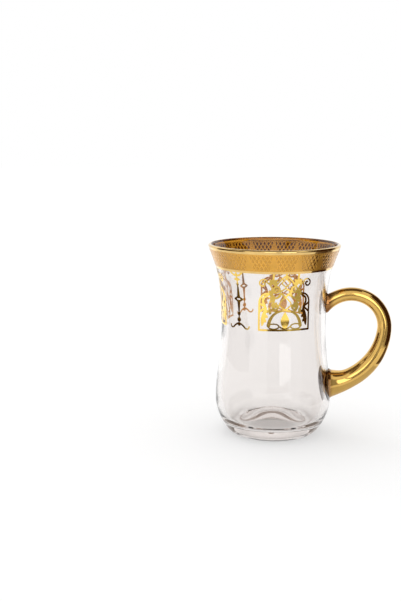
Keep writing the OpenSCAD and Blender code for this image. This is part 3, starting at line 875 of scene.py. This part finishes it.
class TEAGLASS_OT_bands(Operator):
    """Spin the gold round the lip: the lip itself, the two plain lines and the net band"""
    bl_idname = "teaglass.bands"
    bl_label = "Gold bands"

    # height of the rings of a plain line
    STEP = 0.4 * MM
    # height and number of the finer steps that the cells of the net need, and the depth of the cells
    NET_STEP = 0.2 * MM
    NET_TURNS = 768
    NET_DEPTH = 0.05 * MM
    # rings on the outside of a layer to one on its back
    BACK_SHARE = 4
    SIDE_STEPS = 4
    # how far the gold turns over the lip from its outermost line
    LIP_TURN = math.radians(110)
    LIP_STEPS = 12

    def film(self, wall, z0, z1, gilt, step=STEP, turns=TURNS):
        """A layer of gold round the wall between two heights."""
        n = max(2, round((z1 - z0) / step))
        outside = [(wall.outer(z) + gilt.film, z) for z in fade(z0, z1, n)]
        inside = [(wall.outer(z) - gilt.sink, z) for z in fade(z1, z0, max(2, n // self.BACK_SHARE))]
        bm = turn_profile(outside + inside, turns, closed=True)
        self.sides(bm, lambda c: math.hypot(c.x, c.y) > wall.outer(c.z))
        return bm

    def sides(self, bm, is_outside):
        """Gives the faces that look out the first finish and the others the second."""
        for f in bm.faces:
            f.material_index = 0 if is_outside(f.calc_center_median()) else 1

    def lip(self, wall, gilt, z0):
        """The gold that wraps the lip, from a height on its outside."""
        zs = fade(z0, wall.lip_z, self.SIDE_STEPS)[:-1]
        turns = fade(0.0, self.LIP_TURN, self.LIP_STEPS)
        lines = []
        for layer in (gilt.film, -gilt.sink):
            reach = wall.lip_r + layer
            side = [(wall.outer(z) + layer, z) for z in zs]
            over = [(wall.lip_c + reach * math.cos(a), wall.lip_z + reach * math.sin(a)) for a in turns]
            lines.append(side + over)
        bm = turn_profile(lines[0] + lines[1][::-1], TURNS, closed=True)

        def is_outside(c):
            r = math.hypot(c.x, c.y)
            if c.z < wall.lip_z:
                return r > wall.outer(c.z)
            return math.hypot(r - wall.lip_c, c.z - wall.lip_z) > wall.lip_r
        self.sides(bm, is_outside)
        return bm

    def press(self, bm, wall, z0, z1, repeats):
        """Presses the cells of the net in to the outside of the band."""
        for v in bm.verts:
            r = math.hypot(v.co.x, v.co.y)
            if r > wall.outer(v.co.z):
                turn = math.atan2(v.co.y, v.co.x) / (2 * math.pi) + 0.5
                depth = self.NET_DEPTH * net_press(turn, (v.co.z - z0) / (z1 - z0), repeats)
                v.co.xy *= (r - depth) / r

    def unwrap(self, bm, z0, z1):
        """A map whose width is the turn round the band and whose height is the band's."""
        layer = bm.loops.layers.uv.new("round_the_band")
        for f in bm.faces:
            c = f.calc_center_median()
            mid = math.atan2(c.y, c.x)
            for loop in f.loops:
                p = loop.vert.co
                turn = math.atan2(p.y, p.x) - mid
                turn = (turn + math.pi) % (2 * math.pi) - math.pi
                loop[layer].uv = ((mid + turn) / (2 * math.pi) + 0.5, (p.z - z0) / (z1 - z0))

    def execute(self, context):
        tg = context.scene.tea_glass
        gilt, f = tg.gilt, tg.finish
        wall = WallLine(tg.glass)
        lip_z = tg.glass.height - gilt.lip_line_h
        top = lip_z - gilt.top_line_h
        low = top - gilt.band_h
        drop = low - gilt.low_line_h
        # the lip and lines use the gold darkened as painted shade
        line_gold = gold("gold_line", f.line_gold, rough=(0.08, 0.18), dents=0.04 * MM, glaze=0.6)
        lip_back = gold("gold_lip_glass_side", f.glass_side_lip, rough=(0.12, 0.25), dents=0.03 * MM)
        plain = [line_gold, bright_pair()[1]]
        lip = [line_gold, lip_back]
        put_object("lip_gold", self.lip(wall, gilt, lip_z), lip, "lip_gilding")
        line = self.film(wall, top, lip_z, gilt)
        put_object("upper_line_gold", line, plain, "band_upper_line")
        line = self.film(wall, drop, low, gilt)
        put_object("lower_line_gold", line, plain, "band_lower_line")
        bm = self.film(wall, low, top, gilt, self.NET_STEP, self.NET_TURNS)
        self.press(bm, wall, low, top, gilt.net_repeats)
        self.unwrap(bm, low, top)
        net = [net_gold("gold_net", f.net_gold, f.net_cell, rough=0.42, cell_rough=0.06, glaze=0.7),
               # the cells on the glass side are painted near black as a painted reflection of dark
               # surroundings
               net_gold("gold_net_glass_side", f.glass_side, f.glass_side_net, rough=0.25, cell_rough=0.25)]
        put_object("net_band_gold", bm, net, "rim_band")
        return {"FINISHED"}


def hang(tg, drawing, height, places):
    """Lays a drawing on the wall under the gold bands, at each place's angle, object name and node."""
    s = tg.gilt
    low = tg.glass.height - s.lip_line_h - s.top_line_h - s.band_h - s.low_line_h - height
    wall = WallLine(tg.glass)
    for phi, name, node in places:
        put_object(name, drawing.wrapped(wall, phi, low), bright_pair(), node)
    drawing.bm.free()


class TEAGLASS_OT_panels(Operator):
    """Draw the arched scroll panel and lay it on the wall at the front, the far side and the back"""
    bl_idname = "teaglass.panels"
    bl_label = "Scroll panels"

    def spray(self, d, mid, reach, lobes, fan, turn, w):
        """A fan of leaves from one place."""
        c = d.at(mid)
        for k in range(lobes):
            a = math.radians(turn + fan * (k / (lobes - 1) - 0.5))
            d.leaf(c, c + Vector((math.cos(a), math.sin(a))) * reach, w)

    def drawing(self, gilt):
        """The panel as strokes, in half widths across and heights up: a frame, a vase and scrolls."""
        h = gilt.panel_h
        d = Drawing((gilt.panel_w / 2, h), gilt.film, gilt.sink)
        w, thick, thin = gilt.line_w, 1.3 * gilt.line_w, 0.7 * gilt.line_w
        d.straight([(-0.92, 0.02), (0.92, 0.02)], w)
        d.line([(0, 0.92), (0, 1)], w)
        vase = smooth_path([d.at(p) for p in ((0, 0.05), (0, 0.17), (0, 0.27), (0, 0.34))], d.STEP)
        d.fill(vase, [max(0.1 * w, 4.4 * w * math.sin(math.pi * t ** 0.8))
                      for t in fade(0.0, 1.0, len(vase) - 1)])
        for s in (1, -1):
            def m(*points):
                return [(s * p[0], p[1]) for p in points]
            d.straight(m((0.92, 0.02), (0.92, 0.50)), w)
            d.arc((s * 0.60, 0.50), (s * 0.32, 0.16), 0, 95, w)
            d.straight(m((0.92, 0.49), (0.70, 0.42), (0.92, 0.33)), w)
            d.line(m((0.62, 0.625), (0.76, 0.58), (0.78, 0.51), (0.70, 0.42)), w, thick)
            d.line(m((0.70, 0.42), (0.68, 0.36), (0.74, 0.26), (0.78, 0.12)), thick, thin)
            for a, b in (((0.68, 0.36), (0.60, 0.33)), ((0.71, 0.29), (0.62, 0.24)),
                         ((0.75, 0.21), (0.67, 0.16))):
                d.leaf(d.at((s * a[0], a[1])), d.at((s * b[0], b[1])), 1.5 * w)
            d.line(m((0.58, 0.10), (0.54, 0.18), (0.44, 0.27), (0.28, 0.33), (0, 0.37)), 1.9 * w, thin)
            d.ring((s * 0.34, 0.425), (0.095, 0.045), w)
            d.ring((s * 0.32, 0.73), (0.105, 0.05), w)
            d.bead((s * 0.32, 0.73), 0.6 * w)
            d.line(m((0.20, 0.62), (0.33, 0.58), (0.44, 0.61), (0.47, 0.66)), thick, w)
            d.leaf(d.at((s * 0.70, 0.40)), d.at((s * 0.81, 0.10)), 2.4 * w)
            self.spray(d, (s * 0.47, 0.66), 0.075 * h, 4, s * 150, 90 - s * 30, 1.4 * w)
            self.spray(d, (s * 0.50, 0.36), 0.065 * h, 3, s * 120, 90 - s * 100, 1.4 * w)
            d.ring((s * 0.40, 0.085), (0.19, 0.045), thin)
            d.line(m((0.22, 0.09), (0.10, 0.055), (0, 0.05)), thin, w)
            d.line(m((0, 0.37), (0.21, 0.47), (0, 0.60)), thin)
            d.line(m((0, 0.60), (0.15, 0.665), (0.24, 0.62)), thin)
            d.line(m((0, 0.60), (0.20, 0.68), (0, 0.76), (0.14, 0.84), (0, 0.92)), thin)
            d.line(m((0.35, 0.79), (0.18, 0.90), (0, 0.97)), thin, w)
            d.line(m((0.28, 0.33), (0.42, 0.38), (0.46, 0.46), (0.40, 0.56), (0.58, 0.66)), w)
            self.spray(d, (s * 0.45, 0.45), 0.09 * h, 3, s * 110, 90 + s * 110, 1.5 * w)
            self.spray(d, (s * 0.41, 0.56), 0.09 * h, 3, s * 110, 90 - s * 70, 1.5 * w)
            d.line(m((0.58, 0.66), (0.48, 0.73), (0.54, 0.80), (0.68, 0.86)), w, thin)
            self.spray(d, (s * 0.45, 0.84), 0.09 * h, 5, s * 190, 90, 1.5 * w)
            r = 0.08 * h
            d.curl((s * 0.81, 0.835), r, r / 4, 90 + s * 60, 90 - s * 350, thin, w)
            d.line(m((0.45, 0.84), (0.45, 1.0)), w)
            d.line(m((0.45, 0.84), (0.35, 0.79)), w)
        return d

    def execute(self, context):
        tg = context.scene.tea_glass
        step = 2 * tg.gilt.motif_step
        hang(tg, self.drawing(tg.gilt), tg.gilt.panel_h, (
            (-math.pi + step, "scroll_gold_front", "scroll_panel_front"),
            (math.pi, "scroll_gold_far", "scroll_panel_far"),
            (math.pi - step, "scroll_gold_back", "scroll_panel_back")))
        return {"FINISHED"}


class TEAGLASS_OT_pendants(Operator):
    """Draw the hanging lamp and lay it on the wall between the panels"""
    bl_idname = "teaglass.pendants"
    bl_label = "Lamp pendants"

    def drawing(self, gilt):
        """The lamp as strokes, in half widths across and heights up: a stem with beads and chains."""
        h = gilt.pendant_h
        d = Drawing((gilt.pendant_w / 2, h), gilt.film, gilt.sink)
        w, thin, bead = gilt.line_w, 0.7 * gilt.line_w, 0.034 * h
        d.line([(0, 0.09), (0, 0.48)], thin, w)
        d.line([(0, 0.57), (0, 1.0)], w, thin)
        d.line([(0, 0.32), (0, 0.48)], w, 2 * w)
        d.line([(0, 0.57), (0, 0.73)], 2 * w, w)
        for v, r in ((0.085, 1.0), (0.165, 1.2), (0.27, 1.0), (0.79, 0.8), (0.95, 1.0)):
            d.bead((0, v), r * bead)
        for s in (1, -1):
            leg = ((0.06, 0.10), (0.34, 0.07), (0.60, 0.02), (0.84, 0.02), (0.92, 0.06))
            d.line([(s * x, y) for x, y in leg], w, thin)
            d.straight([(0, 0.48), (s * 0.36, 0.525), (0, 0.57)], w)
            d.line([(0, 0.875), (s * 0.20, 0.875)], 2 * w, w)
            d.line([(0, 0.945), (s * 0.26, 0.95), (s * 0.56, 1.0)], w)
        return d

    def execute(self, context):
        tg = context.scene.tea_glass
        step = tg.gilt.motif_step
        hang(tg, self.drawing(tg.gilt), tg.gilt.pendant_h, (
            (-math.pi + step, "lamp_gold_front", "lamp_pendant_front"),
            (math.pi - step, "lamp_gold_back", "lamp_pendant_back")))
        return {"FINISHED"}


class TEAGLASS_OT_stage(Operator):
    """Set the camera, the pale floor, the soft light and the cards that the gold and the glass show"""
    bl_idname = "teaglass.stage"
    bl_label = "Stage"

    EYE = (0.0, -0.4629, 0.1410)
    AIM = (-0.03502, 0.0, 0.06322)
    SENSOR = 24.0
    # length of the lens over the height of the sensor
    LENS_SHARE = 981.0 / 601.0
    FLOOR = ((-4, -4, 0), (4, -4, 0), (-4, 4, 0))
    FLOOR_GLOW = 0.5
    # strength of the surroundings as a light, and what looking at them adds
    WORLD_LIGHT = 0.8
    WORLD_EXTRA = 0.2
    SUN_POWER = 0.9
    SUN_SPREAD = math.radians(70)
    SUN_LEAN = (math.radians(-18), math.radians(-14), 0)

    CARDS = {
        "black": (0.05, 0.022, 0.01),
        "dim": (0.14, 0.10, 0.07),
        "umber": (0.34, 0.27, 0.23),
        "grey": (0.42, 0.42, 0.42),
        "pale": (0.70, 0.70, 0.70),
        "fair": (1.35, 1.35, 1.35),
        "glow": (2.6, 2.6, 2.6),
    }
    # near cards, which only reflections see: a name, a colour and three corners
    FLAGS = (
        ("flag_left", "black", (-0.13, -0.12, 0.026), (-0.13, 0.035, 0.026), (-0.13, -0.12, 0.16)),
        ("flag_right", "black", (0.14, -0.094, 0.0), (0.165, 0.10, 0.0), (0.14, -0.094, 0.19)),
        ("flag_corner", "grey", (0.12, -0.17, 0.0), (0.14, -0.096, 0.0), (0.12, -0.17, 0.16)),
        ("flag_floor", "dim", (0.09, -0.03, 0.001), (0.16, -0.03, 0.001), (0.09, 0.05, 0.001)),
        ("flag_table", "pale", (-0.05, -0.215, 0.001), (0.08, -0.215, 0.001), (-0.05, -0.13, 0.001)),
        ("flag_sill", "black", (-0.06, -0.285, 0.0), (0.17, -0.285, 0.0), (-0.06, -0.285, 0.012)),
        ("flag_front", "grey", (-0.06, -0.30, 0.012), (0.065, -0.30, 0.012), (-0.06, -0.30, 0.085)),
        ("flag_high", "dim", (-0.36, -0.22, 0.42), (-0.20, -0.42, 0.42), (-0.32, -0.18, 0.55)),
        ("flag_top", "dim", (-0.6, -0.3, 0.7), (0.3, -0.3, 0.7), (-0.6, 0.35, 0.7)),
        ("flag_far", "black", (0.30, -0.02, 0.22), (0.30, 0.32, 0.22), (0.30, -0.02, 0.70)),
        ("glow_left", "fair", (-0.13, -0.25, 0.0012), (-0.03, -0.25, 0.0012), (-0.13, -0.17, 0.0012)),
        ("glow_right", "fair", (0.077, -0.25, 0.0012), (0.118, -0.25, 0.0012), (0.077, -0.15, 0.0012)),
        ("glow_high", "glow", (-0.11, -0.40, 0.095), (0.02, -0.40, 0.095), (-0.11, -0.40, 0.26)),
        ("glow_front", "glow", (0.07, -0.31, 0.014), (0.26, -0.31, 0.014), (0.07, -0.31, 0.22)),
        ("glow_back", "fair", (-0.30, 0.12, 0.0012), (0.30, 0.12, 0.0012), (-0.30, 0.28, 0.0012)),
        ("flag_strip", "black", (-0.06, -0.285, 0.0014), (0.30, -0.285, 0.0014), (-0.06, -0.238, 0.0014)),
        ("flag_under", "pale", (0.036, -0.045, 0.001), (0.085, -0.045, 0.001), (0.036, 0.02, 0.001)),
    )
    # far cards, which only rays bent by the glass see
    VEILS = (
        ("veil_roof", "dim", (-0.9, -0.9, 0.9), (0.9, -0.9, 0.9), (-0.9, 0.9, 0.9)),
        ("veil_left", "dim", (-1.6, -0.6, 0.0), (-1.6, 1.8, 0.0), (-1.6, -0.6, 0.8)),
        ("veil_right", "dim", (1.6, -0.6, 0.0), (1.6, 1.8, 0.0), (1.6, -0.6, 0.8)),
        ("veil_back", "umber", (-1.6, 1.8, 0.0), (1.6, 1.8, 0.0), (-1.6, 1.8, 0.8)),
    )

    def camera(self, scene):
        data = bpy.data.cameras.new("view")
        data.sensor_fit = "VERTICAL"
        data.sensor_height = self.SENSOR
        data.lens = self.SENSOR * self.LENS_SHARE
        data.clip_start = 0.01
        cam = bpy.data.objects.new("view", data)
        cam.location = self.EYE
        cam.rotation_euler = (Vector(self.AIM) - cam.location).to_track_quat("-Z", "Y").to_euler()
        scene.collection.objects.link(cam)
        scene.camera = cam

    def plane(self, scene, name, corners, material):
        """A flat card from its first corner and the two beside it."""
        bm = bmesh.new()
        made = bmesh.ops.create_grid(bm, x_segments=1, y_segments=1, size=0.5)
        a, b, c = (Vector(p) for p in corners)
        m = Matrix((b - a, c - a, (b - a).cross(c - a).normalized())).transposed().to_4x4()
        m.translation = a + (b - a) / 2 + (c - a) / 2
        bmesh.ops.transform(bm, matrix=m, verts=made["verts"])
        mesh = bpy.data.meshes.new(name)
        bm.to_mesh(mesh)
        bm.free()
        mesh.materials.append(material)
        obj = bpy.data.objects.new(name, mesh)
        scene.collection.objects.link(obj)
        return obj

    def flag(self, scene, name, corners, material):
        """A card beside the set, which only reflections see."""
        obj = self.plane(scene, name, corners, material)
        obj.visible_camera = False
        obj.visible_diffuse = False
        obj.visible_shadow = False
        obj.visible_transmission = False
        return obj

    def veil(self, scene, name, corners, material):
        """A far card that only rays bent by the glass see."""
        obj = self.flag(scene, name, corners, material)
        obj.visible_glossy = False
        obj.visible_transmission = True

    def seen(self, tree):
        """One where a camera, glossy or transmission ray looks, and nought for lighting."""
        path = tree.nodes.new("ShaderNodeLightPath")
        a = math_node(tree, "MAXIMUM", path.outputs["Is Camera Ray"], path.outputs["Is Glossy Ray"])
        return math_node(tree, "MAXIMUM", a, path.outputs["Is Transmission Ray"])

    def blank(self, name):
        """An empty material: itself, its node tree and the socket for its surface."""
        m = bpy.data.materials.new(name)
        m.use_nodes = True
        t = m.node_tree
        t.nodes.clear()
        return m, t, t.nodes.new("ShaderNodeOutputMaterial").inputs["Surface"]

    def floor_finish(self, color):
        """A pale cloth with an even glow that lights nothing."""
        m, t, surface = self.blank("pale_floor")
        cloth = t.nodes.new("ShaderNodeBsdfDiffuse")
        cloth.inputs["Color"].default_value = (*color, 1)
        glow = t.nodes.new("ShaderNodeEmission")
        t.links.new(math_node(t, "MULTIPLY", self.seen(t), self.FLOOR_GLOW), glow.inputs["Strength"])
        add = t.nodes.new("ShaderNodeAddShader")
        t.links.new(cloth.outputs[0], add.inputs[0])
        t.links.new(glow.outputs[0], add.inputs[1])
        t.links.new(add.outputs[0], surface)
        return m

    def card(self, name, color):
        """A card of one even colour."""
        m, t, surface = self.blank(name)
        even = t.nodes.new("ShaderNodeEmission")
        even.inputs["Color"].default_value = (*color, 1)
        t.links.new(even.outputs[0], surface)
        return m

    def world(self, scene):
        w = bpy.data.worlds.new("studio")
        w.use_nodes = True
        t = w.node_tree
        back = t.nodes["Background"]
        back.inputs["Color"].default_value = (1, 1, 1, 1)
        extra = math_node(t, "MULTIPLY", self.seen(t), self.WORLD_EXTRA)
        level = math_node(t, "ADD", extra, self.WORLD_LIGHT)
        t.links.new(level, back.inputs["Strength"])
        scene.world = w

    def sun(self, scene):
        """A broad soft light from above."""
        data = bpy.data.lights.new("soft_sun", "SUN")
        data.energy = self.SUN_POWER
        data.angle = self.SUN_SPREAD
        obj = bpy.data.objects.new("soft_sun", data)
        obj.rotation_euler = self.SUN_LEAN
        obj.visible_glossy = False
        obj.visible_transmission = False
        scene.collection.objects.link(obj)

    def execute(self, context):
        scene = context.scene
        self.camera(scene)
        self.plane(scene, "floor", self.FLOOR, self.floor_finish(scene.tea_glass.finish.floor))
        cards = {name: self.card("card_" + name, color) for name, color in self.CARDS.items()}
        for name, color, *corners in self.FLAGS:
            self.flag(scene, name, corners, cards[color])
        for name, color, *corners in self.VEILS:
            self.veil(scene, name, corners, cards[color])
        self.world(scene)
        self.sun(scene)
        scene.view_settings.view_transform = "Standard"
        scene.cycles.max_bounces = 24
        scene.cycles.transmission_bounces = 20
        scene.cycles.glossy_bounces = 8
        scene.cycles.use_denoising = True
        return {"FINISHED"}


class TEAGLASS_PT_sidebar(Panel):
    """Lists the steps that build the tea glass"""
    bl_idname = "TEAGLASS_PT_sidebar"
    bl_label = "Tea glass"
    bl_space_type = "VIEW_3D"
    bl_region_type = "UI"
    bl_category = "Tea glass"

    def draw(self, context):
        for step in STEPS:
            self.layout.operator(step.bl_idname)
        for part in ("glass", "handle", "gilt", "finish"):
            group = getattr(context.scene.tea_glass, part)
            box = self.layout.box()
            for name in group.bl_rna.properties.keys():
                if name not in ("rna_type", "name"):
                    box.prop(group, name)


STEPS = (TEAGLASS_OT_stage, TEAGLASS_OT_body, TEAGLASS_OT_handle, TEAGLASS_OT_bands, TEAGLASS_OT_panels,
         TEAGLASS_OT_pendants)
CLASSES = (GlassSizes, HandleSizes, GiltSizes, Finishes, TeaGlass) + STEPS + (TEAGLASS_PT_sidebar,)


def register():
    for c in CLASSES:
        bpy.utils.register_class(c)
    bpy.types.Scene.tea_glass = PointerProperty(type=TeaGlass)


def unregister():
    del bpy.types.Scene.tea_glass
    for c in reversed(CLASSES):
        bpy.utils.unregister_class(c)


def main():
    register()
    bpy.ops.teaglass.stage()
    bpy.ops.teaglass.body()
    bpy.ops.teaglass.handle()
    bpy.ops.teaglass.bands()
    bpy.ops.teaglass.panels()
    bpy.ops.teaglass.pendants()


if __name__ == "__main__":
    main()
